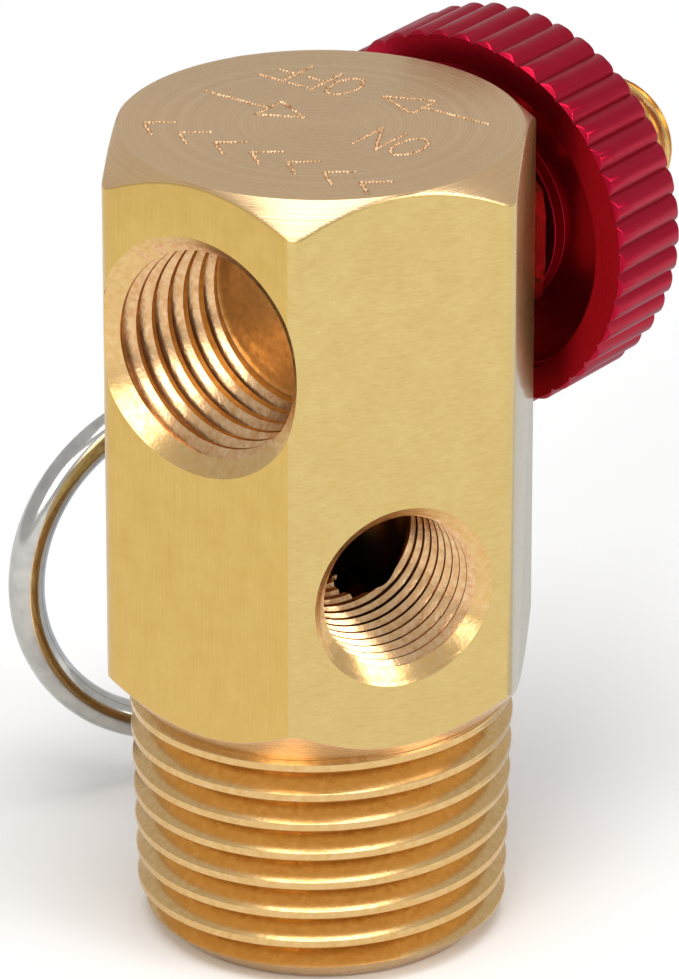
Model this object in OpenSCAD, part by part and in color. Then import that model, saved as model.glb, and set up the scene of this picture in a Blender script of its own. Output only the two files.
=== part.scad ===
// Pressure relief valve block for a portable air tank.
// A hexagonal brass bar with a taper thread below, a hose port, a gauge port,
// a shut-off spindle with a fluted knob and fill stem, and a pull-ring relief valve.
// Millimetres. Origin at the centre of the bottom end face, +Z up the bar, +X out along the knob.

/* [Body] */
// Width across the flats of the hexagonal bar
across_flats = 22.225; // [22.225:0.025:26]
// Overall height of the body
body_height = 47; // [45:0.5:60]
// Diameter that trims the six vertical corners
corner_diameter = 25.3; // [24.9:0.05:29]
// Diameter of the flat disc on the top face
top_disc_diameter = 21.96; // [18:0.05:22]
// Height at which the bottom chamfer meets the thread root
shoulder_height = 13.02; // [12:0.1:15]
// Slope of the bottom chamfer, height over radius
shoulder_slope = 1.06; // [0.8:0.05:1.4]
// Diameter of the inlet bore up from the bottom end
inlet_bore_diameter = 8.4; // [6:0.1:9]
// Height of the top of the inlet bore
inlet_bore_top = 29; // [27.5:0.1:29.5]

/* [Tank thread] */
// Crest diameter of the tank thread at its top ridge
tank_thread_diameter = 21.3; // [20:0.05:21.6]
// Pitch of the tank thread
tank_pitch = 1.814; // [1.6:0.01:2]
// Number of ridges on the tank thread
tank_ridges = 8; // [5:1:8]
// Diameter of the bottom end face of the thread
tank_end_diameter = 17.84; // [16:0.1:18.2]
// Taper of the thread, radius lost for each millimetre of height
tank_taper = 0.03125; // [0:0.005:0.04]
// Height of the centre of the top ridge
tank_top_ridge_height = 13.6; // [12.8:0.05:13.7]

/* [Hose port] */
// Height of the hose port and of the knob axis
port_height = 37.1; // [36.5:0.1:38]
// Crest diameter inside the hose port
hose_crest_diameter = 11.3; // [10:0.05:11.6]
// Root diameter inside the hose port
hose_root_diameter = 13.3; // [12.6:0.05:13.4]
// Pitch of the hose port thread
hose_pitch = 1.411; // [1.2:0.01:1.6]
// Number of ridges in the hose port
hose_ridges = 6; // [4:1:6]
// Distance from the body axis to the bottom of the hose port
hose_floor = 1.8; // [0.5:0.1:2]

/* [Gauge port] */
// Height of the gauge port
gauge_height = 23.63; // [22.5:0.1:24.5]
// Crest diameter inside the gauge port
gauge_crest_diameter = 8.7; // [8:0.05:9]
// Root diameter inside the gauge port
gauge_root_diameter = 10.1; // [9.6:0.05:10.3]
// Pitch of the gauge port thread
gauge_pitch = 0.941; // [0.8:0.01:1.05]
// Number of ridges in the gauge port
gauge_ridges = 6; // [4:1:6]

/* [Shut-off valve] */
// Diameter of the hole through the valve seat
seat_hole_diameter = 3.2; // [2:0.1:3.6]
// Height of the raised lip round the seat hole
seat_lip_height = 0.4; // [0.2:0.05:0.6]
// Thickness of the rubber seat washer
seat_washer_thickness = 0.8; // [0.6:0.05:1.2]
// Diameter of the rubber seat washer
seat_washer_diameter = 5.2; // [4.6:0.1:5.4]
// Diameter of the valve chamber
chamber_diameter = 8; // [7.4:0.1:8.4]
// Diameter of the spindle where it slides in the gland
spindle_diameter = 6; // [5.4:0.1:6.2]
// Diameter of the bore of the spindle
spindle_bore_diameter = 2.2; // [1.6:0.1:2.4]
// Diameter of the shank of the gland nut
gland_shank_diameter = 9.1; // [8.8:0.1:9.6]
// Width across the flats of the gland nut
gland_across_flats = 11.1; // [10.6:0.1:14]
// Thickness of the head of the gland nut
gland_head_thickness = 1.9; // [1.4:0.1:1.9]

/* [Knob] */
// Diameter of the knob over its flutes
knob_diameter = 22.04; // [19:0.1:24]
// Width of the knob along its axis
knob_width = 5.6; // [5:0.1:7]
// Gap between the body flat and the knob when closed
knob_gap = 1.75; // [1.75:0.05:3]
// Number of flutes round the knob
knob_flutes = 44; // [24:1:60]
// Depth of the flutes
knob_flute_depth = 0.36; // [0.2:0.02:0.4]
// Diameter of the recess in the inner face of the knob
knob_recess_diameter = 18.4; // [14:0.1:18.6]
// Depth of the recess in the inner face of the knob
knob_recess_depth = 2.14; // [1.8:0.05:2.6]
// Diameter of the hub in the recess
knob_hub_diameter = 11.2; // [9:0.1:12]

/* [Fill stem] */
// Diameter of the fill stem over its thread
fill_thread_diameter = 7.68; // [7.2:0.02:8]
// Pitch of the fill stem thread
fill_pitch = 0.794; // [0.7:0.01:0.9]
// Length of the fill stem beyond the knob
fill_stem_length = 10.58; // [10.2:0.02:13]
// Diameter of the mouth of the fill stem
fill_mouth_diameter = 5.3; // [4.9:0.05:5.5]
// Diameter of the core pin of the fill valve
core_pin_diameter = 0.9; // [0.7:0.05:1]
// Travel of the core pin when pressed
core_travel = 1.2; // [0.8:0.1:1.3]

/* [Relief valve] */
// Height of the relief valve axis
relief_height = 23.4; // [23:0.1:24.5]
// Diameter of the vent hole under the relief disc
relief_orifice_diameter = 3.5; // [2.5:0.1:4]
// Diameter of the shank of the relief housing
relief_shank_diameter = 9.1; // [8.9:0.1:9.4]
// Width across the flats of the relief housing
relief_across_flats = 11.11; // [11:0.1:13]
// Length of the head of the relief housing
relief_head_length = 3.2; // [2.8:0.1:3.8]
// Width across the flats of the lock nut
lock_nut_flats = 9.5; // [9:0.1:10.5]
// Bore of the relief housing
relief_bore_diameter = 6.6; // [6.2:0.1:7]
// Diameter of the relief stem
relief_stem_diameter = 2.5; // [2:0.1:2.8]
// Diameter of the eye end of the relief stem
relief_eye_diameter = 4.6; // [4:0.1:5.4]
// Travel of the relief stem when the ring is pulled
relief_travel = 1.5; // [0.8:0.1:1.6]

/* [Pull ring] */
// Distance from the body axis to the plane of the ring
ring_distance = 18.75; // [18.6:0.05:20]
// Mean radius of the pull ring
ring_radius = 10.15; // [7:0.05:10.4]
// Diameter of the ring wire
ring_wire_diameter = 2.08; // [1.6:0.02:2.2]

/* [Hidden] */
$fn = 64;
flat = across_flats / 2;
thin = 0.01;
run_gap = 0.05;
thread_gap = 0.05;
knob_angle = 0;
relief_angle = 60;
hose_angle = 180;
gauge_angle = 240;

// taper thread below
crest_land = 0.3;
root_land = 0.1;
tank_depth = (tank_pitch - crest_land - root_land) / (2 * tan(30));
tank_crest_radius = tank_thread_diameter / 2;

// shut-off valve, distances along +X from the body axis
seat_wall_end = 1.8;
seat_face = seat_wall_end + seat_lip_height;
washer_end = seat_face + seat_washer_thickness;
holder_floor_end = washer_end + 0.5;
button_start = holder_floor_end + run_gap;
button_end = button_start + 0.8;
holder_lip_start = button_end + run_gap;
holder_end = holder_lip_start + 0.55;
spindle_tip_start = holder_end + 0.1;
cross_hole_place = spindle_tip_start + 1.1;
spindle_step = cross_hole_place + 1.1;
gland_start = 7.4;
gland_washer_thickness = 0.3;
gland_head_start = flat + gland_washer_thickness;
gland_head_end = gland_head_start + gland_head_thickness;
gland_bore_radius = spindle_diameter / 2 + run_gap;
o_ring_wire = 0.9;
o_ring_place = gland_start + 1.25;
o_ring_inner = spindle_diameter / 2 + run_gap;
chamber_end = gland_start;
gland_thread_radius = gland_shank_diameter / 2 + thread_gap;
tip_diameter = 4;
button_diameter = 3;
neck_diameter = 2;
riser_diameter = 2.2;
riser_place = 3;
gauge_floor = inlet_bore_diameter / 2 - 1.35;

// knob, distances along +X
knob_start = flat + knob_gap;
knob_end = knob_start + knob_width;
recess_end = knob_start + knob_recess_depth;
hub_start = recess_end - 0.8;
clip_end = hub_start;
clip_thickness = 0.6;
clip_start = clip_end - clip_thickness;
clip_radius = 4.3;
clip_groove_radius = spindle_diameter / 2 - 0.35;
knob_seat_radius = spindle_diameter / 2 + 0.2;
knob_seat_flat = 2.75;
knob_radius = knob_diameter / 2;
knob_bevel = knob_flute_depth - 0.06;
lobe_sides = 5;

// fill stem, distances along +X
stem_end = knob_end + fill_stem_length;
stem_chamfer_start = stem_end - 0.9;
fill_radius = fill_thread_diameter / 2;
fill_depth = (fill_pitch - 0.25) / (2 * tan(30));
fill_ridges = floor((stem_chamfer_start - knob_end - 1.4) / fill_pitch);
fill_last_ridge = stem_chamfer_start - 0.35;
mouth_radius = fill_mouth_diameter / 2;
mouth_end = stem_end - 4.7;
core_bore_radius = 2;
core_bore_start = mouth_end - 6.4;
barrel_head_start = mouth_end + 0.35;
barrel_head_end = stem_end - 0.9;
barrel_start = core_bore_start + core_travel + 1.5;
barrel_radius = core_bore_radius - run_gap;
barrel_bore_radius = 1.35;
gasket_end = barrel_head_start;
core_seal_end = barrel_start;
core_seal_start = core_seal_end - 0.8;
core_seal_radius = barrel_radius - 0.35;
core_pin_radius = core_pin_diameter / 2;
core_pin_end = stem_end - 0.25;
core_foot_start = core_seal_start - 0.4;
core_spring_wire = 0.3;
core_spring_start = barrel_start + 0.9;
core_spring_end = barrel_head_end - 1.1;
core_collar_end = core_spring_end + 0.5;

// relief valve, distances along its own axis from the body axis
relief_seat_floor = 6.6;
relief_lip_height = 0.4;
relief_face = relief_seat_floor + relief_lip_height;
relief_seal_thickness = 0.8;
relief_seal_radius = 2.5;
poppet_start = relief_face + 0.3;
poppet_end = poppet_start + 2.1;
poppet_radius = relief_bore_diameter / 2 - 0.4;
relief_shank_start = relief_face + 0.4;
relief_washer_thickness = 0.3;
relief_head_start = flat + relief_washer_thickness;
relief_head_end = relief_head_start + relief_head_length;
cap_start = relief_head_end - 1.8;
cap_end = relief_head_end + 1.6;
lock_nut_start = relief_head_end;
lock_nut_end = lock_nut_start + 1.2;
cap_radius = relief_bore_diameter / 2 - run_gap;
stem_radius = relief_stem_diameter / 2;
stem_start = poppet_end - 1.2;
eye_start = cap_end + 0.4;
eye_radius = relief_eye_diameter / 2;
eye_hole_radius = ring_wire_diameter / 2 + 0.36;
eye_end = ring_distance + eye_hole_radius + 1.2;
relief_bore_radius = relief_shank_diameter / 2 + thread_gap;
spring_wire = 0.5;
spring_radius = 2.15;
ring_top_rise = 0.1;
ring_centre_height = relief_height + ring_top_rise - ring_radius;

// a shape drawn up +Z is laid out along the knob axis
module along_knob() {
    translate([0, 0, port_height])
        rotate([0, 90, 0])
            children();
}

module along_hose() {
    translate([0, 0, port_height])
        rotate([0, 0, hose_angle])
            rotate([0, 90, 0])
                children();
}

module along_gauge() {
    translate([0, 0, gauge_height])
        rotate([0, 0, gauge_angle])
            rotate([0, 90, 0])
                children();
}

module along_relief() {
    translate([0, 0, relief_height])
        rotate([0, 0, relief_angle])
            rotate([0, 90, 0])
                children();
}

// a plain round bar between two stations
module bar(radius, start, end) {
    translate([0, 0, start])
        cylinder(r = radius, h = end - start);
}

// a hexagonal bar with one corner up
module hex(flats, start, end) {
    translate([0, 0, start])
        cylinder(d = flats / cos(30), h = end - start, $fn = 6);
}

// outline points of a row of ridges that stand out, from bottom to top
function ridge_points(crest, depth, pitch, land, top, count, taper) = [
    for (i = [count - 1 : -1 : 0])
        let (z = top - i * pitch, r = crest - i * pitch * taper, half = land / 2)
            each [
                [r - depth, z - half - depth * tan(30)],
                [r, z - half],
                [r, z + half],
                [r - depth, z + half + depth * tan(30)]
            ]
];

// outline points of a hole with ridges that stand in, from the inner end outwards
function socket_points(crest, root, pitch, land, first, count) = [
    for (i = [0 : count - 1])
        let (z = first + i * pitch, half = land / 2, depth = root - crest)
            each [
                [crest, z - half],
                [crest, z + half],
                [root, z + half + depth * tan(30)],
                [root, z + pitch - half - depth * tan(30)]
            ]
];

// outline of the fluted rim: round lobes that meet in sharp valleys
function flute_points(radius, depth, count, sides) = [
    for (i = [0 : count - 1], j = [0 : sides - 1])
        let (part = 2 * j / sides - 1, a = 360 / count * (i + part / 2), r = radius - depth * part * part)
            [r * cos(a), r * sin(a)]
];

// a wire swept round a coil as one closed surface
module coil(radius, wire, start, end, turns, sides = 8, steps = 16) {
    rings = turns * steps;
    points = [
        for (i = [0 : rings], j = [0 : sides - 1])
            let (a = 360 * i / steps, b = 360 * j / sides, r = radius + wire / 2 * cos(b))
                [r * cos(a), r * sin(a), start + wire / 2 + (end - start - wire) * i / rings
                    + wire / 2 * sin(b)]
    ];
    walls = [
        for (i = [0 : rings - 1], j = [0 : sides - 1])
            [i * sides + j, i * sides + (j + 1) % sides, (i + 1) * sides + (j + 1) % sides,
                (i + 1) * sides + j]
    ];
    first = [for (j = [sides - 1 : -1 : 0]) j];
    last = [for (j = [0 : sides - 1]) rings * sides + j];
    polyhedron(points = points, faces = concat([first], walls, [last]));
}

module body_outside() {
    cone_top = corner_diameter / 2 + 1;
    root = tank_crest_radius - tank_depth;
    union() {
        intersection() {
            rotate([0, 0, 30])
                hex(across_flats, shoulder_height, body_height);
            cylinder(d = corner_diameter, h = body_height);
            rotate_extrude()
                polygon([
                    [0, shoulder_height],
                    [root, shoulder_height],
                    [cone_top, shoulder_height + (cone_top - root) * shoulder_slope],
                    [cone_top, body_height - cone_top + top_disc_diameter / 2],
                    [top_disc_diameter / 2, body_height],
                    [0, body_height]
                ]);
        }
        intersection() {
            rotate_extrude()
                polygon(concat(
                    [[0, -4], [root - (tank_top_ridge_height + 4) * tank_taper, -4]],
                    ridge_points(tank_crest_radius, tank_depth, tank_pitch, crest_land,
                        tank_top_ridge_height, tank_ridges, tank_taper),
                    [[root, shoulder_height + 1.6], [0, shoulder_height + 1.6]]
                ));
            cylinder(r1 = tank_end_diameter / 2, r2 = tank_end_diameter / 2 + body_height,
                h = body_height);
        }
    }
}

module hose_port_cut() {
    crest = hose_crest_diameter / 2;
    root = hose_root_diameter / 2;
    first = flat - 0.75 - hose_pitch * (hose_ridges - 0.5);
    mouth = root + 0.15;
    along_hose()
        rotate_extrude()
            polygon(concat(
                [[0, hose_floor], [crest, hose_floor]],
                socket_points(crest, root, hose_pitch, 0.2, first, hose_ridges),
                [[root, flat - 0.15], [mouth, flat], [mouth, flat + 1], [0, flat + 1]]
            ));
}

module gauge_port_cut() {
    crest = gauge_crest_diameter / 2;
    root = gauge_root_diameter / 2;
    first = flat - 0.6 - gauge_pitch * (gauge_ridges - 0.5);
    mouth = root + 0.13;
    along_gauge()
        rotate_extrude()
            polygon(concat(
                [[0, gauge_floor], [crest, gauge_floor]],
                socket_points(crest, root, gauge_pitch, 0.15, first, gauge_ridges),
                [[root, flat - 0.13], [mouth, flat], [mouth, flat + 1], [0, flat + 1]]
            ));
}

module valve_body() {
    color([0.78, 0.6, 0.3])
        difference() {
            body_outside();
            translate([0, 0, -1])
                cylinder(d = inlet_bore_diameter, h = inlet_bore_top + 1);
            hose_port_cut();
            gauge_port_cut();
            // seat hole, chamber with its raised lip, and the gland bore
            along_knob() {
                bar(seat_hole_diameter / 2, -hose_floor - 1, seat_face + 1);
                difference() {
                    bar(chamber_diameter / 2, seat_wall_end, chamber_end + thin);
                    bar(seat_hole_diameter / 2 + 0.6, seat_wall_end - 1, seat_face);
                }
                bar(gland_thread_radius, chamber_end, flat + 1);
            }
            // riser from the inlet bore to the chamber
            translate([riser_place, 0, inlet_bore_top - 1])
                cylinder(d = riser_diameter, h = port_height - inlet_bore_top - 1);
            // relief orifice with its raised lip, and the housing bore
            along_relief() {
                bar(relief_orifice_diameter / 2, 0, relief_face + 1);
                difference() {
                    bar(relief_bore_radius, relief_seat_floor, flat + 1);
                    bar(relief_orifice_diameter / 2 + 0.5, relief_seat_floor - 1, relief_face);
                }
            }
        }
}

module gland_nut() {
    color([0.8, 0.64, 0.36])
        along_knob()
            difference() {
                union() {
                    bar(gland_shank_diameter / 2, gland_start, gland_head_start + thin);
                    intersection() {
                        hex(gland_across_flats, gland_head_start, gland_head_end);
                        translate([0, 0, gland_head_start])
                            cylinder(r1 = gland_across_flats / 2 + gland_head_thickness + 0.3,
                                r2 = gland_across_flats / 2 + 0.3, h = gland_head_thickness);
                    }
                }
                bar(gland_bore_radius, gland_start - 1, gland_head_end + 1);
                bar(gland_bore_radius + o_ring_wire + 0.05, o_ring_place - o_ring_wire / 2 - 0.05,
                    o_ring_place + o_ring_wire / 2 + 0.05);
            }
}

module gland_o_ring() {
    color([0.1, 0.1, 0.1])
        along_knob()
            translate([0, 0, o_ring_place])
                rotate_extrude()
                    translate([o_ring_inner + o_ring_wire / 2, 0])
                        circle(d = o_ring_wire, $fn = 32);
}

module gland_washer() {
    color([0.85, 0.85, 0.8])
        along_knob()
            difference() {
                bar(gland_across_flats / 2, flat, gland_head_start);
                bar(gland_thread_radius, flat - 1, gland_head_start + 1);
            }
}

module spindle() {
    neck = neck_diameter / 2;
    tip = tip_diameter / 2;
    main = spindle_diameter / 2;
    bore = spindle_bore_diameter / 2;
    root = fill_radius - fill_depth;
    color([0.8, 0.64, 0.36])
        along_knob()
            difference() {
                union() {
                    bar(button_diameter / 2, button_start, button_end);
                    bar(neck, button_end - thin, spindle_tip_start + thin);
                    bar(tip, spindle_tip_start, spindle_step + thin);
                    bar(main, spindle_step, clip_start);
                    bar(clip_groove_radius, clip_start - thin, clip_end + thin);
                    intersection() {
                        bar(knob_seat_radius, clip_end, knob_end);
                        translate([-knob_seat_flat, -knob_seat_radius, clip_end])
                            cube([2 * knob_seat_flat, 2 * knob_seat_radius, knob_end - clip_end]);
                    }
                    // threaded fill stem with a shoulder against the knob and a rounded end
                    rotate_extrude()
                        polygon(concat(
                            [[0, knob_end], [fill_radius, knob_end], [fill_radius, knob_end + 0.6],
                                [root, knob_end + 0.9]],
                            ridge_points(fill_radius, fill_depth, fill_pitch, 0.2,
                                fill_last_ridge, fill_ridges, 0),
                            [[root, stem_chamfer_start + 0.4], [fill_radius - 0.42, stem_end - 0.25],
                                [fill_radius - 0.7, stem_end], [0, stem_end]]
                        ));
                }
                bar(bore, cross_hole_place - 0.4, core_bore_start + thin);
                bar(core_bore_radius, core_bore_start, mouth_end + thin);
                translate([0, 0, mouth_end])
                    cylinder(r1 = core_bore_radius, r2 = mouth_radius, h = 0.4);
                bar(mouth_radius, mouth_end + 0.35, stem_end + 1);
                translate([0, 0, cross_hole_place])
                    rotate([90, 0, 0])
                        cylinder(r = 0.7, h = spindle_diameter, center = true);
            }
}

module seat_holder() {
    washer = seat_washer_diameter / 2;
    color([0.8, 0.64, 0.36])
        along_knob()
            difference() {
                bar(washer + 0.6, seat_face + seat_washer_thickness / 2, holder_end);
                bar(washer + 0.05, seat_face - 1, washer_end);
                bar(button_diameter / 2 + run_gap, holder_floor_end, holder_lip_start);
                bar(neck_diameter / 2 + run_gap, holder_floor_end, holder_end + 1);
            }
}

module seat_washer() {
    color([0.12, 0.12, 0.12])
        along_knob()
            bar(seat_washer_diameter / 2, seat_face, washer_end);
}

module knob() {
    recess = knob_recess_diameter / 2;
    color([0.62, 0.08, 0.16])
        along_knob()
            difference() {
                intersection() {
                    translate([0, 0, knob_start])
                        linear_extrude(knob_width)
                            polygon(flute_points(knob_radius, knob_flute_depth, knob_flutes, lobe_sides));
                    rotate_extrude()
                        polygon([
                            [0, knob_start - 1],
                            [knob_radius - knob_bevel - 1, knob_start - 1],
                            [knob_radius + 1, knob_start + knob_bevel + 1],
                            [knob_radius + 1, knob_end - 1.2],
                            [knob_radius - 1.2, knob_end + 1],
                            [0, knob_end + 1]
                        ]);
                }
                difference() {
                    bar(recess, knob_start - 1, recess_end);
                    bar(knob_hub_diameter / 2, hub_start, recess_end + 1);
                }
                intersection() {
                    bar(knob_seat_radius + run_gap, hub_start - 1, knob_end + 1);
                    translate([-knob_seat_flat - run_gap, -knob_seat_radius - 1, hub_start - 1])
                        cube([2 * (knob_seat_flat + run_gap), 2 * knob_seat_radius + 2,
                            knob_end - hub_start + 2]);
                }
            }
}

module knob_clip() {
    color([0.7, 0.7, 0.72])
        along_knob()
            difference() {
                bar(clip_radius, clip_start, clip_end);
                bar(clip_groove_radius + run_gap, clip_start - 1, clip_end + 1);
                translate([0, -0.9, clip_start - 1])
                    cube([clip_radius + 1, 1.8, clip_thickness + 2]);
            }
}

module fill_core_barrel() {
    color([0.82, 0.68, 0.4])
        along_knob()
            difference() {
                union() {
                    bar(barrel_radius, barrel_start, barrel_head_start + thin);
                    bar(mouth_radius - run_gap, barrel_head_start, barrel_head_end - 1.3);
                    // bridge across the top for turning the barrel
                    intersection() {
                        bar(mouth_radius - run_gap, barrel_head_start, barrel_head_end);
                        translate([-mouth_radius, -0.75, barrel_head_start])
                            cube([2 * mouth_radius, 1.5, barrel_head_end - barrel_head_start]);
                    }
                }
                bar(barrel_bore_radius, core_spring_start - 0.3, core_collar_end + 1.2);
                bar(core_pin_radius + 0.3, barrel_start - 1, core_spring_start);
                bar(core_pin_radius + run_gap, core_collar_end + 1, barrel_head_end + 1);
            }
}

module fill_core_gasket() {
    color([0.9, 0.9, 0.88])
        along_knob()
            difference() {
                bar(mouth_radius - 0.05, gasket_end - 0.01 - 0.24, gasket_end);
                bar(barrel_radius + 0.03, gasket_end - 1, gasket_end + 1);
                difference() {
                    bar(mouth_radius + 1, gasket_end - 1, gasket_end + 1);
                    translate([0, 0, mouth_end])
                        cylinder(r1 = core_bore_radius - 0.06, r2 = mouth_radius - 0.06, h = 0.4);
                }
            }
}

module fill_core_pin() {
    color([0.8, 0.75, 0.6])
        along_knob() {
            bar(core_pin_radius, core_foot_start + thin, core_pin_end);
            bar(core_seal_radius, core_foot_start, core_seal_start);
            bar(barrel_bore_radius - 0.2, core_spring_end, core_collar_end);
        }
}

module fill_core_seal() {
    color([0.15, 0.15, 0.15])
        along_knob()
            difference() {
                bar(core_seal_radius, core_seal_start, core_seal_end);
                bar(core_pin_radius, core_seal_start - 1, core_seal_end + 1);
            }
}

module fill_core_spring() {
    color([0.75, 0.75, 0.77])
        along_knob()
            coil((core_pin_radius + barrel_bore_radius) / 2, core_spring_wire,
                core_spring_start, core_spring_end, 5);
}

module relief_housing() {
    color([0.8, 0.64, 0.36])
        along_relief()
            difference() {
                union() {
                    bar(relief_shank_diameter / 2, relief_shank_start, relief_head_start + thin);
                    intersection() {
                        hex(relief_across_flats, relief_head_start, relief_head_end);
                        translate([0, 0, relief_head_start])
                            cylinder(r1 = relief_across_flats / 2 + relief_head_length + 0.3,
                                r2 = relief_across_flats / 2 + 0.3, h = relief_head_length);
                    }
                }
                bar(relief_bore_diameter / 2, relief_shank_start - 1, relief_head_end + 1);
            }
}

module relief_washer() {
    color([0.72, 0.45, 0.3])
        along_relief()
            difference() {
                bar(relief_across_flats / 2, flat, relief_head_start);
                bar(relief_bore_radius, flat - 1, relief_head_start + 1);
            }
}

module relief_poppet() {
    color([0.8, 0.64, 0.36])
        along_relief()
            difference() {
                union() {
                    bar(poppet_radius, poppet_start, poppet_start + 1.4);
                    bar(spring_radius - spring_wire / 2 - 0.05, poppet_start, poppet_end);
                }
                bar(relief_seal_radius, poppet_start - 1, relief_face + relief_seal_thickness);
                bar(stem_radius, stem_start, poppet_end + 1);
            }
}

module relief_seal() {
    color([0.15, 0.15, 0.15])
        along_relief()
            bar(relief_seal_radius, relief_face, relief_face + relief_seal_thickness);
}

module relief_spring() {
    color([0.72, 0.72, 0.75])
        along_relief()
            coil(spring_radius, spring_wire, poppet_start + 1.4, cap_start, 4);
}

module relief_stem() {
    color([0.68, 0.68, 0.7])
        along_relief()
            difference() {
                union() {
                    bar(stem_radius, stem_start, eye_start + thin);
                    bar(eye_radius, eye_start, eye_end - 0.5);
                    translate([0, 0, eye_end - 0.5])
                        cylinder(r1 = eye_radius, r2 = eye_radius - 0.5, h = 0.5);
                }
                translate([0, 0, ring_distance])
                    rotate([90, 0, 0])
                        cylinder(r = eye_hole_radius, h = relief_eye_diameter + 2, center = true);
            }
}

module relief_cap() {
    color([0.8, 0.64, 0.36])
        along_relief()
            difference() {
                bar(cap_radius, cap_start, cap_end);
                bar(stem_radius + 0.1, cap_start - 1, cap_end + 1);
                // vent holes and the slot for turning the cap
                for (a = [45 : 90 : 315])
                    rotate([0, 0, a])
                        translate([(stem_radius + cap_radius) / 2, 0, cap_start - 1])
                            cylinder(r = 0.45, h = cap_end - cap_start + 2, $fn = 32);
                translate([-cap_radius - 1, -0.4, cap_end - 0.6])
                    cube([2 * cap_radius + 2, 0.8, 2]);
            }
}

module relief_lock_nut() {
    color([0.8, 0.64, 0.36])
        along_relief()
            difference() {
                intersection() {
                    hex(lock_nut_flats, lock_nut_start, lock_nut_end);
                    bar(lock_nut_flats / 2 + 0.55, lock_nut_start, lock_nut_end);
                }
                bar(cap_radius + thread_gap, lock_nut_start - 1, lock_nut_end + 1);
            }
}

module pull_ring() {
    color([0.68, 0.68, 0.7])
        translate([ring_distance * cos(relief_angle), ring_distance * sin(relief_angle),
            ring_centre_height])
            rotate([0, 0, relief_angle])
                rotate([0, 90, 0])
                    rotate_extrude()
                        translate([ring_radius, 0])
                            circle(d = ring_wire_diameter, $fn = 32);
}

valve_body();
gland_nut();
gland_o_ring();
gland_washer();
spindle();
seat_holder();
seat_washer();
knob();
knob_clip();
fill_core_barrel();
fill_core_gasket();
fill_core_pin();
fill_core_seal();
fill_core_spring();
relief_housing();
relief_washer();
relief_poppet();
relief_seal();
relief_spring();
relief_stem();
relief_cap();
relief_lock_nut();
pull_ring();
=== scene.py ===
import math
import bmesh
import bpy
import numpy as np
from mathutils import Matrix, Vector


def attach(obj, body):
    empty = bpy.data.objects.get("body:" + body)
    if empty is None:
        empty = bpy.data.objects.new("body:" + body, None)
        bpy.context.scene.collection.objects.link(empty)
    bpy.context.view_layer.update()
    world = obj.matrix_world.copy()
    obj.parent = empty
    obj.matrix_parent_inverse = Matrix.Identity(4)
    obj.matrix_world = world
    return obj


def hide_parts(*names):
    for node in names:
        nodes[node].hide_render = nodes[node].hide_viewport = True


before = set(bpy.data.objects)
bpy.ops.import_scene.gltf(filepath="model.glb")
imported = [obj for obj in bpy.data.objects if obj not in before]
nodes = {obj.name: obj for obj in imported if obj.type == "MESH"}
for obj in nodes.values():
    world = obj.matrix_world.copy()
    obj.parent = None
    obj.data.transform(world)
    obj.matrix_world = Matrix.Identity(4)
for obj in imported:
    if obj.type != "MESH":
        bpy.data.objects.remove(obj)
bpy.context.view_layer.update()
scene = bpy.context.scene
scene.view_settings.view_transform = "Standard"
tan30 = math.tan(math.radians(30))


# camera: lengths in metres, angles in degrees

view = {"azimuth": 216.3508, "elevation": 24.1996, "distance": 0.43583,
        "aside": 0.000996, "height": 0.02543, "focalLength": 292.43}


def direction(azimuth, elevation):
    az, el = math.radians(azimuth), math.radians(elevation)
    return Vector((math.cos(az) * math.cos(el), math.sin(az) * math.cos(el), math.sin(el)))


def addCamera():
    az = math.radians(view["azimuth"])
    back = direction(view["azimuth"], view["elevation"])
    right = Vector((-math.sin(az), math.cos(az), 0))
    up = back.cross(right)
    place = Vector((0, 0, view["height"])) + right * view["aside"] + back * view["distance"]
    data = bpy.data.cameras.new("camera")
    data.lens = view["focalLength"]
    data.sensor_width = 36
    data.clip_start = 0.01
    data.clip_end = 20
    camera = bpy.data.objects.new("camera", data)
    scene.collection.objects.link(camera)
    camera.matrix_world = Matrix((
        (right.x, up.x, back.x, place.x), (right.y, up.y, back.y, place.y),
        (right.z, up.z, back.z, place.z), (0, 0, 0, 1)))
    scene.camera = camera


def linear(hexColour):
    # sRGB hex to linear light
    s = np.array([int(hexColour[i:i + 2], 16) for i in (1, 3, 5)]) / 255
    return tuple(np.where(s <= 0.04045, s / 12.92, ((s + 0.055) / 1.055) ** 2.4)) + (1.0,)


def newMaterial(name):
    material = bpy.data.materials.new(name)
    material.use_nodes = True
    tree = material.node_tree
    tree.nodes.clear()
    output = tree.nodes.new("ShaderNodeOutputMaterial")
    return material, tree, output


def add(tree, kind, inputs=None, **settings):
    # one node, its settings, and its sockets set to values or linked to other nodes' sockets
    node = tree.nodes.new(kind)
    for key, value in settings.items():
        setattr(node, key, value)
    for key, value in (inputs or {}).items():
        socket = node.inputs[key]
        if isinstance(value, bpy.types.NodeSocket):
            tree.links.new(value, socket)
        else:
            socket.default_value = value
    return node


def finish(tree, output, shader):
    tree.links.new(shader.outputs[0], output.inputs["Surface"])


def skin(points, aroundU=False, aroundV=False):
    # faces of a grid of points (u, v), joined round on either side
    nu, nv = points.shape[:2]
    index = np.arange(nu * nv).reshape(nu, nv)
    if aroundU:
        index = np.vstack([index, index[:1]])
    if aroundV:
        index = np.hstack([index, index[:, :1]])
    quads = np.stack([index[:-1, :-1], index[1:, :-1], index[1:, 1:], index[:-1, 1:]], axis=-1)
    return points.reshape(-1, 3), quads.reshape(-1, 4)


def turned(profile, columns, start=0.0):
    # a profile of (radius, height) points carried round the Z axis
    profile = np.asarray(profile, float)
    angle = start + np.linspace(0, 2 * np.pi, columns, endpoint=False)
    return np.stack([
        profile[None, :, 0] * np.cos(angle)[:, None],
        profile[None, :, 0] * np.sin(angle)[:, None],
        np.broadcast_to(profile[None, :, 1], (columns, len(profile)))], axis=-1)


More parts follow.
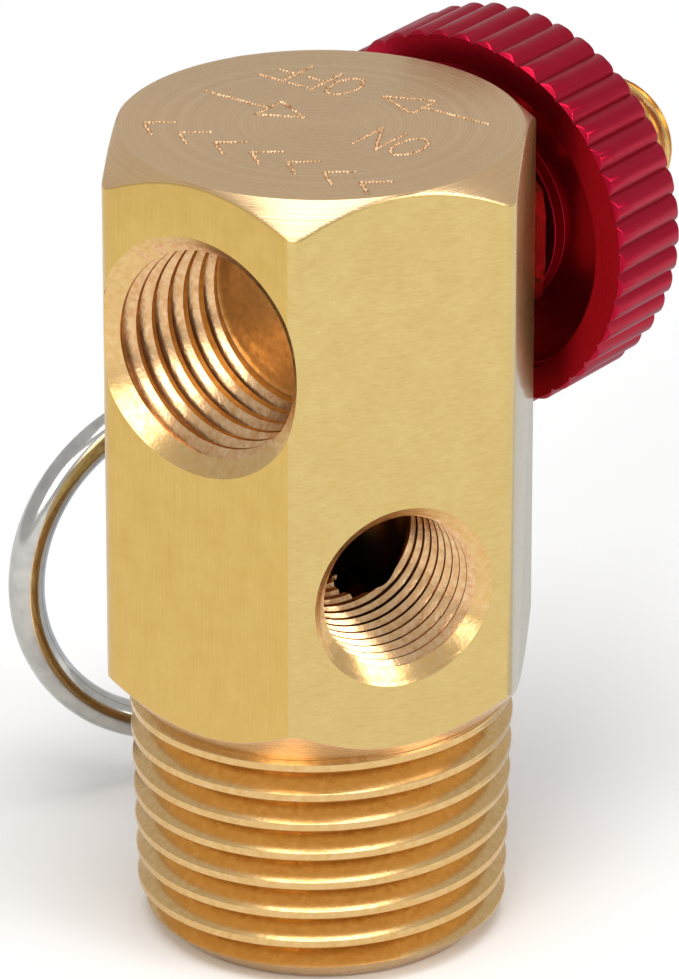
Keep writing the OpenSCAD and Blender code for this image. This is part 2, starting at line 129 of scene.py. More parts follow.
def softened(profile, radius, sides=3, closed=False):
    # each corner of a (radius, height) outline is cut back by that much and rounded with a parabola
    profile = np.asarray(profile, float)
    count = len(profile)
    out = []
    for i in range(count):
        if not closed and i in (0, count - 1):
            out.append(profile[i])
            continue
        a, b, c = profile[i - 1], profile[i], profile[(i + 1) % count]
        da, dc = np.linalg.norm(a - b), np.linalg.norm(c - b)
        cut = min(radius, da * 0.45, dc * 0.45)
        p, q = b + (a - b) / da * cut, b + (c - b) / dc * cut
        for t in np.linspace(0, 1, sides + 1):
            out.append((1 - t) ** 2 * p + 2 * t * (1 - t) * b + t * t * q)
    return np.array(out)


def helix(first, last, pitch, crest, depth, land, taper=0.0, columns=128, rounding=0.06):
    # a screw thread as one closed skin: the pitch's outline climbs by one pitch a turn, and its
    # radius is the crest's, less the depth in the groove, plus the taper times the height
    slope = depth * tan30
    half = land / 2
    outline = softened([
        (-half - slope, depth), (-half, 0), (half, 0), (half + slope, depth),
        (pitch - half - slope, depth)], rounding, 2)[:-1]
    per = len(outline)
    turns = int(math.ceil((last - first) / pitch)) + 1
    offset = np.concatenate([outline[:, 0] + k * pitch for k in range(turns)])
    sink = np.tile(outline[:, 1], turns)
    angle = np.linspace(0, 2 * np.pi, columns, endpoint=False)
    z = first + offset[:, None] + pitch * angle[None, :] / (2 * np.pi)
    r = crest + taper * z - sink[:, None]
    points = np.stack([r * np.cos(angle), r * np.sin(angle), z], axis=-1)
    rows = len(offset)
    index = np.arange(rows * columns).reshape(rows, columns)
    inner = np.stack([index[:-1, :-1], index[:-1, 1:], index[1:, 1:], index[1:, :-1]], axis=-1)
    end, begin = index[:, -1], index[:, 0]
    keep = np.arange(rows - per - 1)
    joint = np.stack([end[keep], begin[keep + per], begin[keep + per + 1], end[keep + 1]], axis=-1)
    # the two ends close on a point of the axis
    low = np.concatenate([index[0], begin[per:0:-1]])
    stop = rows - 1 - per
    high = np.concatenate([index[-1][:1], index[-1][1:], end[rows - 2:stop - 1:-1]])
    allPoints = np.vstack([points.reshape(-1, 3), [[0, 0, z[0, 0]]], [[0, 0, z[-1, -1]]]])
    centre = rows * columns
    lowFan = [(centre, low[(i + 1) % len(low)], low[i]) for i in range(len(low))]
    highFan = [(centre + 1, high[i], high[(i + 1) % len(high)]) for i in range(len(high))]
    sides = [tuple(f) for f in inner.reshape(-1, 4)] + [tuple(f) for f in joint]
    return allPoints, sides + lowFan + highFan


def outward(part):
    # turns a closed shape's faces round if its signed volume comes out negative
    points = np.asarray(part[0], float).reshape(-1, 3)
    faces = [tuple(int(i) for i in f) for f in part[1]]
    a, b, c = np.array([(f[0], f[i], f[i + 1]) for f in faces for i in range(1, len(f) - 1)]).T
    volume = np.einsum("ij,ij->i", points[a], np.cross(points[b], points[c])).sum()
    return points, faces if volume > 0 else [f[::-1] for f in faces]


def newPiece(name, parts):
    # closed shapes in millimetres in one mesh, with doubled points and collapsed faces merged
    points, faces, base = [], [], 0
    for part in parts:
        p, f = outward(part)
        points.append(p)
        faces += [tuple(i + base for i in face) for face in f]
        base += len(p)
    mesh = bpy.data.meshes.new(name)
    mesh.from_pydata(np.vstack(points).tolist(), [], faces)
    bm = bmesh.new()
    bm.from_mesh(mesh)
    bmesh.ops.remove_doubles(bm, verts=bm.verts, dist=1e-5)
    bmesh.ops.dissolve_degenerate(bm, edges=bm.edges, dist=1e-6)
    bm.to_mesh(mesh)
    bm.free()
    piece = bpy.data.objects.new(name, mesh)
    scene.collection.objects.link(piece)
    return piece


def carve(piece, tool, operation="DIFFERENCE"):
    # cuts the tool out of the piece, or joins it, and removes the tool
    modifier = piece.modifiers.new("carve", "BOOLEAN")
    modifier.operation = operation
    modifier.solver = "MANIFOLD"
    modifier.object = tool
    bpy.context.view_layer.update()
    result = bpy.data.meshes.new_from_object(piece.evaluated_get(bpy.context.evaluated_depsgraph_get()))
    piece.modifiers.clear()
    old, piece.data = piece.data, result
    result.name = piece.name
    bpy.data.meshes.remove(old)
    bpy.data.meshes.remove(tool.data)


def settle(piece, rides, materials, replaced=(), smoothAngle=32, choose=None):
    # millimetres to metres, smooth shading with sharp edges, materials, body and CAD nodes
    mesh = piece.data
    count = len(mesh.vertices)
    at = np.empty(count * 3)
    mesh.vertices.foreach_get("co", at)
    mesh.vertices.foreach_set("co", at / 1000)
    mesh.materials.clear()
    for material in materials:
        mesh.materials.append(material)
    if choose is not None:
        centre, normal = np.empty(len(mesh.polygons) * 3), np.empty(len(mesh.polygons) * 3)
        mesh.polygons.foreach_get("center", centre)
        mesh.polygons.foreach_get("normal", normal)
        picks = choose(centre.reshape(-1, 3) * 1000, normal.reshape(-1, 3))
        mesh.polygons.foreach_set("material_index", picks.astype(np.int32))
    mesh.update()
    mesh.shade_smooth()
    mesh.set_sharp_from_angle(angle=math.radians(smoothAngle))
    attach(piece, rides)
    if replaced:
        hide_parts(*replaced)
    return piece


def placed(part, height, degrees):
    # a shape made up the Z axis is laid level, pointing that many degrees round from +X
    points, faces = part
    a = math.radians(degrees)
    outwardAxis = np.array([math.cos(a), math.sin(a), 0])
    side = np.array([-math.sin(a), math.cos(a), 0])
    points = np.asarray(points, float).reshape(-1, 3)
    down = np.array([0, 0, -1.0])
    turnedPoints = points[:, :1] * down + points[:, 1:2] * side + points[:, 2:] * outwardAxis
    return turnedPoints + [0, 0, height], faces


def block(centre, size):
    # the eight corners of a box, and its six sides
    ends = (-0.5, 0.5)
    corners = np.array([(x, y, z) for z in ends for y in ends for x in ends]) * size + centre
    return corners, [(0, 2, 3, 1), (4, 5, 7, 6), (0, 1, 5, 4), (2, 6, 7, 3), (0, 4, 6, 2), (1, 3, 7, 5)]


def turnedPart(profile, columns=64):
    return skin(turned(profile, columns), aroundU=True)


def rodPart(radius, start, end, columns):
    return turnedPart([(0, start), (radius, start), (radius, end), (0, end)], columns)


def ringPart(profile, columns=64):
    # a closed outline carried round the axis
    return skin(turned(profile, columns), aroundU=True, aroundV=True)


# valve body and its threads: millimetres

body = {"acrossFlats": 22.225, "height": 47.0, "cornerRound": 1.18, "topDisc": 10.98,
        "shoulder": 13.02, "shoulderSlope": 1.06, "threadRoot": 9.43, "edge": 0.12,
        "portHeight": 37.1, "gaugeHeight": 23.63, "reliefHeight": 23.4, "inlet": 4.2, "inletTop": 17.0,
        "passage": 2.15, "passageTop": 29.0, "passageX": 2.5, "passageY": -1.67,
        "riser": 1.1, "riserX": 3.0, "riserStart": 28.0, "riserEnd": 35.0}
# stepped bores of the gland and the relief valve: a hole, a raised lip round it, steps out to the mouth
glandBore = {"start": -1.0, "hole": 1.6, "lip": 2.2, "lipEnd": 2.2, "steps": ((4.0, 1.8), (4.6, 7.4)),
             "bevel": 0.25, "mouth": 5.1}
reliefBore = {"start": 1.0, "hole": 1.75, "lip": 2.25, "lipEnd": 7.0, "steps": ((4.6, 6.6),),
              "bevel": 0.2, "mouth": 5.05}
tankThread = {"crest": 10.65, "topRidge": 13.6, "pitch": 1.814, "depth": 1.22, "land": 0.42,
              "taper": 1 / 32, "endRadius": 8.92}
hoseThread = {"root": 6.72, "depth": 1.1, "pitch": 1.411, "land": 0.05, "floor": 1.8, "drill": 5.72,
              "start": 1.48, "mouth": 6.82, "coneDepth": 0.7}
gaugeThread = {"root": 5.08, "depth": 0.76, "pitch": 0.941, "land": 0.03, "floor": -1.4, "drill": 4.32,
               "start": -1.3, "mouth": 5.2, "coneDepth": 0.62}


def hexRadius(angle, flat, corner):
    # distance from the axis to a hexagon whose corners are rounded by arcs of that radius
    a = (angle + np.pi / 6) % (np.pi / 3) - np.pi / 6
    straight = flat / np.cos(a)
    centre = (flat - corner) / math.cos(math.pi / 6)
    b = np.pi / 6 - np.abs(a)
    arc = centre * np.cos(b) + np.sqrt(np.maximum(corner ** 2 - (centre * np.sin(b)) ** 2, 0))
    touch = math.atan2((flat - corner) * math.tan(math.pi / 6), flat)
    return np.where(np.abs(a) > touch, arc, straight)


def hexPart(flat, corner, outline, cornerSides=5, flatSides=26, turn=0.0):
    # a hexagonal bar: outline(radius) gives the (radius, height) rows of each column, from the axis
    # below, up the wall, to the axis above
    touch = math.atan2((flat - corner) * math.tan(math.pi / 6), flat)
    across = flat * np.tan(np.linspace(-1, 1, flatSides + 1) * touch)
    oneFace = np.concatenate([np.arctan2(across, flat),
                              np.linspace(touch, np.pi / 3 - touch, cornerSides + 1)[1:-1]])
    angle = np.concatenate([oneFace + k * np.pi / 3 for k in range(6)])
    radius = hexRadius(angle, flat, corner)
    rows = [(r + 0 * angle, z + 0 * angle) for r, z in outline(radius)]
    at = angle + turn
    return skin(np.stack([np.stack([r * np.cos(at), r * np.sin(at), z], axis=-1) for r, z in rows], axis=1),
                aroundU=True)


def cutPort(piece, thread, height, degrees, columns):
    # drilled bore, tapered thread and countersunk mouth of a port
    t, flat = thread, body["acrossFlats"] / 2
    land = t["pitch"] - t["land"] - 2 * t["depth"] * tan30
    root = t["root"] - flat / 32
    screw = helix(t["start"], flat + 2.5, t["pitch"], root, t["depth"], land, 1 / 32, columns, 0.04)
    tool = newPiece("screw", [placed(screw, height, degrees)])
    blank = [(0, t["floor"]), (t["root"] + 3, t["floor"]), (t["root"] + 3, flat + 2), (0, flat + 2)]
    carve(tool, newPiece("blank", [placed(turnedPart(blank, columns), height, degrees)]), "INTERSECT")
    carve(piece, tool)
    bore = softened([(0, t["floor"]), (t["drill"], t["floor"]), (t["drill"], flat + 1), (0, flat + 1)], 0.1)
    carve(piece, newPiece("drill", [placed(turnedPart(bore, columns), height, degrees)]))
    slope = t["coneDepth"] / (t["mouth"] - t["drill"])
    cone = [(0, flat - t["mouth"] * slope), (t["mouth"] + 1, flat + slope), (0, flat + slope)]
    carve(piece, newPiece("cone", [placed(turnedPart(cone, columns), height, degrees)]))


def cutStepped(piece, name, bore, height, degrees):
    # each step is (radius, distance from the axis where it begins)
    b, flat = bore, body["acrossFlats"] / 2
    profile = [(0, b["start"]), (b["hole"], b["start"]), (b["hole"], b["lipEnd"]), (b["lip"], b["lipEnd"])]
    for radius, begins in b["steps"]:
        profile += [(profile[-1][0], begins), (radius, begins)]
    profile += [(profile[-1][0], flat - b["bevel"]), (b["mouth"], flat + 0.25), (b["mouth"], flat + 1),
                (0, flat + 1)]
    carve(piece, newPiece(name, [placed(turnedPart(profile, 72), height, degrees)]))


def valveBody():
    flat, h, e = body["acrossFlats"] / 2, body["height"], body["edge"]
    disc, shoulder = body["topDisc"], body["shoulder"]
    slope, root = body["shoulderSlope"], body["threadRoot"]

    def outline(r):
        low, high = shoulder + (r - root) * slope, h - (r - disc)
        return [(0, shoulder), (root, shoulder),
                (r - e, low - e * slope), (r - e * 0.25, low - e * 0.02), (r, low + e),
                (r, high - e), (r - e * 0.25, high - e * 0.02), (r - e, high + e),
                (disc + e * 0.6, h - e * 0.6), (disc, h - e * 0.12), (disc - e, h), (0, h)]

    piece = newPiece("valveBody", [hexPart(flat, body["cornerRound"], outline)])
    t = tankThread
    crest = t["crest"] - t["taper"] * t["topRidge"]
    screw = helix(-2.0, 17.5, t["pitch"], crest, t["depth"], t["land"], t["taper"], 144, 0.1)
    thread = newPiece("tankThread", [screw])
    end = t["endRadius"]
    blank = [(0, 0), (end - 0.1, 0), (end + 0.08, 0.1), (end + 2.5, 2.55), (end + 2.5, 15.0), (0, 15.0)]
    carve(thread, newPiece("blank", [turnedPart(blank, 144)]), "INTERSECT")
    carve(piece, thread, "UNION")
    cutPort(piece, hoseThread, body["portHeight"], 180, 112)
    cutPort(piece, gaugeThread, body["gaugeHeight"], 240, 96)
    inlet = body["inlet"]
    well = [(0, -1), (inlet + 1.3, -1), (inlet + 0.3, 0), (inlet, 0.3), (inlet, body["inletTop"]),
            (0, body["inletTop"] + 0.8)]
    carve(piece, newPiece("well", [turnedPart(well, 96)]))
    points, faces = turnedPart([(0, body["inletTop"] - 1), (body["passage"], body["inletTop"] - 1),
                                (body["passage"], body["passageTop"]), (0, body["passageTop"] + 1)], 64)
    carve(piece, newPiece("passage", [(points + [body["passageX"], body["passageY"], 0], faces)]))
    cutStepped(piece, "chamber", glandBore, body["portHeight"], 0)
    points, faces = rodPart(body["riser"], body["riserStart"], body["riserEnd"], 32)
    carve(piece, newPiece("riser", [(points + [body["riserX"], 0, 0], faces)]))
    cutStepped(piece, "vent", reliefBore, body["reliefHeight"], 60)
    for pits in peenedPits():
        carve(piece, newPiece("peening", pits))
    return piece


# marks on the top end, read from the knob side: letters, arrows and plain chevrons

marks = {"letterHeight": 2.7, "letterWidth": 1.5, "letterStep": 2.0, "offFoot": 6.45, "offStart": 1.4,
         "onFoot": 1.35, "onStart": -6.6, "chevronRow": -5.6, "chevronHalf": 1.05, "chevronLength": 1.3,
         "chevronPlaces": (-8.0, -5.6, -3.2, -0.8, 1.6, 4.0, 6.4), "pitStep": 0.19, "pitRadius": 0.17,
         "pitDepth": 0.1, "wander": 0.02, "arrowHalf": 1.15,
         "arrows": ((0.1, 7.8, 3.6, 1.2), (5.15, -7.3, -3.1, -0.4))}


def letterStrokes():
    # strokes of the letters used, in a box one wide and one high
    around = np.radians(np.linspace(90, 450, 21))
    return {"O": [np.stack([0.5 + 0.5 * np.cos(around), 0.5 + 0.5 * np.sin(around)], axis=-1)],
            "F": [[(0, 0), (0, 1), (1, 1)], [(0, 0.52), (0.75, 0.52)]],
            "N": [[(0, 0), (0, 1), (1, 0), (1, 1)]]}


def engravedStrokes():
    # every stroke as points (x, y) on the top end: letters stand with their heads toward -X
    m, shapes, strokes = marks, letterStrokes(), []
    for word, foot, start in (("OFF", m["offFoot"], m["offStart"]), ("ON", m["onFoot"], m["onStart"])):
        for place, letter in enumerate(word):
            for stroke in shapes[letter]:
                across, up = np.asarray(stroke, float).T
                x = foot - up * m["letterHeight"]
                y = start + place * m["letterStep"] + across * m["letterWidth"]
                strokes.append(np.stack([x, y], axis=-1))
    half = m["arrowHalf"]
    for x, tail, neck, tip in m["arrows"]:
        head = [(x, tail), (x, neck), (x + half, neck), (x, tip), (x - half, neck), (x, neck)]
        strokes.append(np.array(head))
    for y in m["chevronPlaces"]:
        row, half = m["chevronRow"], m["chevronHalf"]
        strokes.append(np.array([(row - half, y), (row, y + m["chevronLength"]), (row + half, y)]))
    return strokes


def peenedPits():
    # six-sided pits that overlap along the strokes, in sets whose own pits stand clear of each other
    m, places, sets = marks, [], [[], [], [], []]
    for stroke in engravedStrokes():
        reach = np.concatenate([[0], np.cumsum(np.hypot(*np.diff(stroke, axis=0).T))])
        along = np.linspace(0, reach[-1], max(2, int(round(reach[-1] / m["pitStep"]))))
        places += list(zip(np.interp(along, reach, stroke[:, 0]), np.interp(along, reach, stroke[:, 1])))
    wander = np.random.default_rng(11).normal(0, 1, (len(places), 3))
    for (x, y), (dx, dy, dr) in zip(places, wander):
        x, y = x + m["wander"] * dx, y + m["wander"] * dy
        radius = m["pitRadius"] * (1 + 0.1 * max(-1.5, min(1.5, dr)))
        for pits in sets:
            if all(math.hypot(x - px, y - py) > radius + other + 0.002 for px, py, other in pits):
                pits.append((x, y, radius))
                break
    around = np.radians(np.arange(6) * 60.0)
    rim = np.stack([np.cos(around), np.sin(around)], axis=-1)
    shape = np.vstack([[(0, 0, -m["pitDepth"])], np.column_stack([rim, np.full(6, 0.002)]),
                       np.column_stack([rim, np.full(6, 0.05)])])
    faces = [(0, 1 + (i + 1) % 6, 1 + i) for i in range(6)] + [tuple(range(7, 13))]
    faces += [(1 + i, 1 + (i + 1) % 6, 7 + (i + 1) % 6, 7 + i) for i in range(6)]
    return [[(shape * (radius, radius, 1) + [x, y, body["height"]], faces) for x, y, radius in pits]
            for pits in sets if pits]


# knob: millimetres, distances along the knob axis from the body axis

knob = {"radius": 11.004, "flutes": 44, "fluteDepth": 0.36, "sides": 12, "front": 12.8625, "back": 18.4625,
        "bevel": 0.22, "recess": 9.2, "recessEnd": 15.0, "hub": 5.6, "hubFront": 14.2, "bore": 3.25}


def fluted(part, radius, depth, count):
    # points past the flute outline are pulled in to it: the radius falls off with the square of the
    # distance from the middle of each lobe
    points, faces = part
    r = np.hypot(points[:, 0], points[:, 1])
    angle = np.arctan2(points[:, 1], points[:, 0]) * count / (2 * np.pi)
    off = 2 * np.abs(angle - np.round(angle))
    limit = radius - depth * off ** 2
    scale = np.where(r > limit, limit / np.maximum(r, 1e-9), 1.0)
    points = points.copy()
    points[:, :2] *= scale[:, None]
    return points, faces


def makeKnob():
    k = knob
    outer, inner = k["radius"], k["radius"] - k["bevel"]
    steps = np.linspace(0, 1, 5) * k["bevel"]
    bevelRows = np.column_stack([inner + steps, k["front"] + steps])
    bend = np.linspace(0, np.pi / 2, 5)
    backRows = np.column_stack([outer - 0.22 * (1 - np.cos(bend)), k["back"] - 0.22 + 0.22 * np.sin(bend)])
    turnedRows = softened([
        (k["bore"], k["back"] - 0.15), (k["bore"], k["hubFront"] + 0.15), (k["bore"] + 0.15, k["hubFront"]),
        (k["hub"], k["hubFront"]), (k["hub"], k["recessEnd"]), (k["recess"], k["recessEnd"]),
        (k["recess"], k["front"])], 0.12, 3)
    outline = np.vstack([turnedRows, bevelRows, [(outer, 14.5), (outer, 16.5)], backRows,
                         [(k["bore"] + 0.15, k["back"])]])
    columns = k["flutes"] * k["sides"]
    points, faces = ringPart(outline, columns)
    points, faces = fluted((points, faces), outer, k["fluteDepth"], k["flutes"])
    return newPiece("shutOffKnob", [placed((points, faces), body["portHeight"], 0)])


# spindle with the threaded fill stem: millimetres along the knob axis

stem = {"radius": 3.84, "core": 3.39, "pitch": 0.794, "depth": 0.44, "land": 0.16, "end": 29.0425,
        "chamfer": 28.14, "shoulder": 18.4625, "mouth": 2.65, "mouthFloor": 24.34, "bore": 2.0,
        "boreFloor": 17.94, "passage": 1.1, "passageStart": 5.75, "tipStart": 3.55, "knobSeat": 3.2,
        "steps": ((1.5, 4.35), (1.0, 5.05), (2.0, 7.25), (3.0, 13.6), (2.65, 14.2))}


def makeSpindle():
    s = stem
    shaft, at = [(0, s["tipStart"])], s["tipStart"]
    # each step is (radius, where it ends), from the tip out to the knob's seat
    for radius, ends in (*s["steps"], (s["knobSeat"], s["shoulder"])):
        shaft += [(radius, at), (radius, ends)]
        at = ends
    shaft += [(s["radius"], s["shoulder"]), (s["radius"], s["shoulder"] + 0.6),
              (s["core"], s["shoulder"] + 0.9), (s["core"], s["end"] - 1), (0, s["end"] - 1)]
    height = body["portHeight"]
    piece = newPiece("fillSpindle", [placed(turnedPart(softened(shaft, 0.08), 72), height, 0)])
    turns = helix(s["shoulder"] - 1.5, s["end"] + 1.5, s["pitch"], s["radius"], s["depth"], s["land"], 0,
                  96, 0.04)
    screw = newPiece("stemScrew", [placed(turns, height, 0)])
    blank = [(0, s["shoulder"] + 0.85), (s["radius"] + 0.1, s["shoulder"] + 0.85),
             (s["radius"] + 0.1, s["chamfer"] - 0.1), (s["radius"] - 0.03, s["chamfer"] + 0.02),
             (s["radius"] - 0.4, s["end"] - 0.28), (s["radius"] - 0.75, s["end"]), (0, s["end"])]
    blank = placed(turnedPart(softened(blank, 0.15), 96), height, 0)
    carve(screw, newPiece("stemBlank", [blank]), "INTERSECT")
    carve(piece, screw, "UNION")
    bore = [(0, s["passageStart"]), (s["passage"], s["passageStart"]), (s["passage"], s["boreFloor"]),
            (s["bore"], s["boreFloor"]), (s["bore"], s["mouthFloor"]),
            (s["mouth"], s["mouthFloor"] + 0.38), (s["mouth"], s["end"] - 0.25),
            (s["mouth"] + 1, s["end"] + 0.75), (0, s["end"] + 0.75)]
    carve(piece, newPiece("stemBore", [placed(turnedPart(bore, 72), height, 0)]))
    return piece


# pull ring: millimetres

ring = {"radius": 10.15, "wire": 2.08, "distance": 18.75, "centreHeight": 13.35, "gapAngle": 200,
        "gap": 0.12}


def makeRing():
    # a round wire bent to a circle whose two rounded ends all but meet
    radius, w = ring["radius"], ring["wire"] / 2
    half = math.degrees((ring["gap"] / 2 + 0.12) / radius)
    around = np.radians(np.linspace(ring["gapAngle"] + half, ring["gapAngle"] + 360 - half, 181))
    edge = np.array([0, 0.55, 0.85, 1.0])
    back = np.array([0.12, 0.11, 0.06, 0.0]) / radius
    angle = np.concatenate([around[:1] - back[:3], around, around[-1:] + back[2::-1]])
    size = np.concatenate([edge[:3], np.ones(len(around)), edge[2::-1]]) * w
    section = np.linspace(0, 2 * np.pi, 28, endpoint=False)
    reach = radius + size[:, None] * np.cos(section)
    flat = np.stack([-reach * np.cos(angle)[:, None], reach * np.sin(angle)[:, None],
                     size[:, None] * np.sin(section) + 0 * angle[:, None]], axis=-1)
    points, faces = skin(flat, aroundV=True)
    points = points + [0, 0, ring["distance"]]
    return newPiece("pullRing", [placed((points, faces), ring["centreHeight"], 60)])


# relief valve pieces that show at the back: millimetres along the relief axis

relief = {"flats": 11.11, "headStart": 11.4125, "headEnd": 14.6125, "shank": 4.55, "shankStart": 7.4,
          "bore": 3.3, "nutFlats": 9.5, "nutEnd": 15.8125, "cap": 3.25, "capStart": 12.8125, "capEnd": 16.2125,
          "stem": 1.25, "stemStart": 8.2, "eyeStart": 16.6125, "eyeEnd": 21.35, "eye": 2.3, "hole": 1.4,
          "capHole": 1.35, "vents": 4, "vent": 0.45, "ventCircle": 2.3, "slot": 0.8, "slotDepth": 0.6}

# gland nut behind the knob: millimetres along the knob axis

gland = {"flats": 11.1, "headStart": 11.4125, "headEnd": 13.3125, "bore": 3.05, "shank": 4.55,
         "shankStart": 7.4}


def hexNut(flat, start, end, bore, shank=None, shankStart=None, corner=0.12):
    # hexagon with coned corners and a bore; a shank may run on below it
    def outline(r):
        cone = np.maximum(r - flat - 0.25, 0) * tan30
        return [(0, start), (flat - 0.2, start), (np.minimum(r, flat + 0.25), start + 0.03),
                (r, start + 0.06 + cone), (r, end - 0.06 - cone),
                (np.minimum(r, flat + 0.25), end - 0.03), (flat - 0.2, end), (0, end)]

    piece = newPiece("hexNut", [hexPart(flat, corner, outline, 3, 16, math.pi / 6)])
    if shank:
        below = [(0, shankStart), (shank - 0.2, shankStart), (shank, shankStart + 0.2), (shank, start + 0.1),
                 (0, start + 0.1)]
        carve(piece, newPiece("shank", [turnedPart(below, 64)]), "UNION")
    low = shankStart if shank else start
    hole = [(0, low - 1), (bore, low - 1), (bore, end - 0.15), (bore + 1, end + 0.85), (0, end + 0.85)]
    carve(piece, newPiece("hole", [turnedPart(hole, 64)]))
    return piece


def lay(piece, name, height, degrees):
    # turns a piece that was made up the Z axis to lie along its own axis
    mesh = piece.data
    at = np.empty(len(mesh.vertices) * 3)
    mesh.vertices.foreach_get("co", at)
    points, _ = placed((at.reshape(-1, 3), []), height, degrees)
    mesh.vertices.foreach_set("co", points.ravel())
    mesh.update()
    piece.name = mesh.name = name
    return piece


def reliefPieces():
    r, height = relief, body["reliefHeight"]
    housing = hexNut(r["flats"] / 2, r["headStart"], r["headEnd"], r["bore"], r["shank"], r["shankStart"])
    lay(housing, "reliefHousing", height, 60)
    nut = lay(hexNut(r["nutFlats"] / 2, r["headEnd"], r["nutEnd"], r["cap"] + 0.05), "lockNut", height, 60)
    cap = [(0, r["capStart"]), (r["cap"], r["capStart"]), (r["cap"], r["capEnd"] - 0.3),
           (r["cap"] - 0.3, r["capEnd"]), (0, r["capEnd"])]
    cap = newPiece("reliefCap", [turnedPart(softened(cap, 0.06), 64)])
    low, high = r["capStart"] - 2, r["capEnd"] + 2
    carve(cap, newPiece("capHole", [rodPart(r["capHole"], low, high, 40)]))
    for k in range(r["vents"]):
        points, faces = rodPart(r["vent"], low, high, 20)
        a = math.radians(45 + 360 / r["vents"] * k)
        across = [r["ventCircle"] * math.cos(a), r["ventCircle"] * math.sin(a), 0]
        carve(cap, newPiece("capVent", [(points + across, faces)]))
    carve(cap, newPiece("capSlot", [block((0, 0, r["capEnd"] + 0.8 - r["slotDepth"]), (8, r["slot"], 1.6))]))
    lay(cap, "reliefCap", height, 60)
    rod = [(0, r["stemStart"]), (r["stem"], r["stemStart"]), (r["stem"], r["eyeStart"]),
           (r["eye"], r["eyeStart"]), (r["eye"], r["eyeEnd"] - 0.6), (r["eye"] - 0.6, r["eyeEnd"]),
           (0, r["eyeEnd"])]
    rod = newPiece("reliefStem", [turnedPart(softened(rod, 0.12), 64)])
    eye, flare = r["hole"], r["hole"] + 1
    hole = [(0, -4), (flare, -4), (flare, -2.9), (eye, -1.9), (eye, 1.9), (flare, 2.9), (flare, 4), (0, 4)]
    points, faces = turnedPart(softened(hole, 0.05), 48)
    points = np.stack([points[:, 0], points[:, 2], points[:, 1] + ring["distance"]], axis=-1)
    carve(rod, newPiece("eyeHole", [(points, faces)]))
    return housing, nut, cap, lay(rod, "reliefStem", height, 60)


def glandNut():
    g = gland
    nut = hexNut(g["flats"] / 2, g["headStart"], g["headEnd"], g["bore"], g["shank"], g["shankStart"])
    return lay(nut, "glandNut", body["portHeight"], 0)


def noise(tree, at, scale, detail=3.0, rough=0.6, stretch=None):
    if stretch is not None:
        at = add(tree, "ShaderNodeMapping", {"Vector": at, "Scale": stretch}).outputs[0]
    return add(tree, "ShaderNodeTexNoise", {
        "Vector": at, "Scale": scale, "Detail": detail, "Roughness": rough}).outputs[0]


def spread(tree, value, low, high, toLow=0.0, toHigh=1.0):
    return add(tree, "ShaderNodeMapRange", {
        "Value": value, "From Min": low, "From Max": high, "To Min": toLow, "To Max": toHigh}).outputs[0]


def blendColour(tree, factor, one, other):
    one, other = [linear(c) if isinstance(c, str) else c for c in (one, other)]
    return add(tree, "ShaderNodeMix", {"Factor": factor, 6: one, 7: other}, data_type="RGBA").outputs[2]


def summed(tree, one, other, weight=1.0):
    return add(tree, "ShaderNodeMath", {0: other, 1: weight, 2: one}, operation="MULTIPLY_ADD").outputs[0]


def rings(tree, at, centre, across, scale, detail=2.0):
    # tool marks of the lathe: noise along the distance from an axis
    moved = add(tree, "ShaderNodeMapping", {
        "Vector": at, "Location": tuple(-c / 1000 for c in centre)}).outputs[0]
    flatAt = add(tree, "ShaderNodeVectorMath", {0: moved, 1: across}, operation="MULTIPLY").outputs[0]
    radius = add(tree, "ShaderNodeVectorMath", {0: flatAt}, operation="LENGTH").outputs["Value"]
    return add(tree, "ShaderNodeTexNoise", {"W": radius, "Scale": scale, "Detail": detail, "Roughness": 0.6},
               noise_dimensions="1D").outputs[0]


def metal(name, low, high, roughness, pattern, strength=0.3, coat=0.0, coatRoughness=0.1):
    # metal whose colour, roughness and relief all follow one pattern from 0 to 1 over the piece
    m, tree, output = newMaterial(name)
    at = add(tree, "ShaderNodeTexCoord").outputs["Object"]
    marks = pattern(tree, at)
    bump = add(tree, "ShaderNodeBump", {"Strength": strength, "Distance": 0.00002, "Height": marks}).outputs[0]
    shader = add(tree, "ShaderNodeBsdfPrincipled", {
        "Base Color": blendColour(tree, marks, low, high), "Metallic": 1.0,
        "Roughness": spread(tree, marks, 0, 1, roughness * 1.15, roughness * 0.85), "Normal": bump,
        "Coat Weight": coat, "Coat Roughness": coatRoughness})
    finish(tree, output, shader)
    return m


def verticalGrain(tree, at):
    lines = noise(tree, at, 1.0, stretch=(9000, 9000, 260))
    return spread(tree, summed(tree, lines, noise(tree, at, 700.0, 4.0)), 0.6, 1.4)


def levelGrain(tree, at):
    waves = noise(tree, at, 1.0, 2.0, stretch=(1500, 1500, 6500))
    return spread(tree, summed(tree, waves, noise(tree, at, 500.0, 3.0), 0.6), 0.5, 1.1)


def latheRings(tree, at):
    fine = rings(tree, at, (0, 0, 0), (1, 1, 0), 16000.0)
    return spread(tree, summed(tree, fine, rings(tree, at, (0, 0, 0), (1, 1, 0), 1800.0), 0.5), 0.5, 1.0)


def chatter(tree, at):
    return spread(tree, noise(tree, at, 2600.0), 0.3, 0.7)


def knobGrain(tree, at):
    turnedMarks = rings(tree, at, (0, 0, body["portHeight"]), (0, 1, 1), 9000.0)
    return spread(tree, summed(tree, turnedMarks, noise(tree, at, 1.0, stretch=(400, 5000, 5000))), 0.6, 1.4)


def cloud(tree, at):
    return spread(tree, noise(tree, at, 900.0, 4.0), 0.3, 0.7)


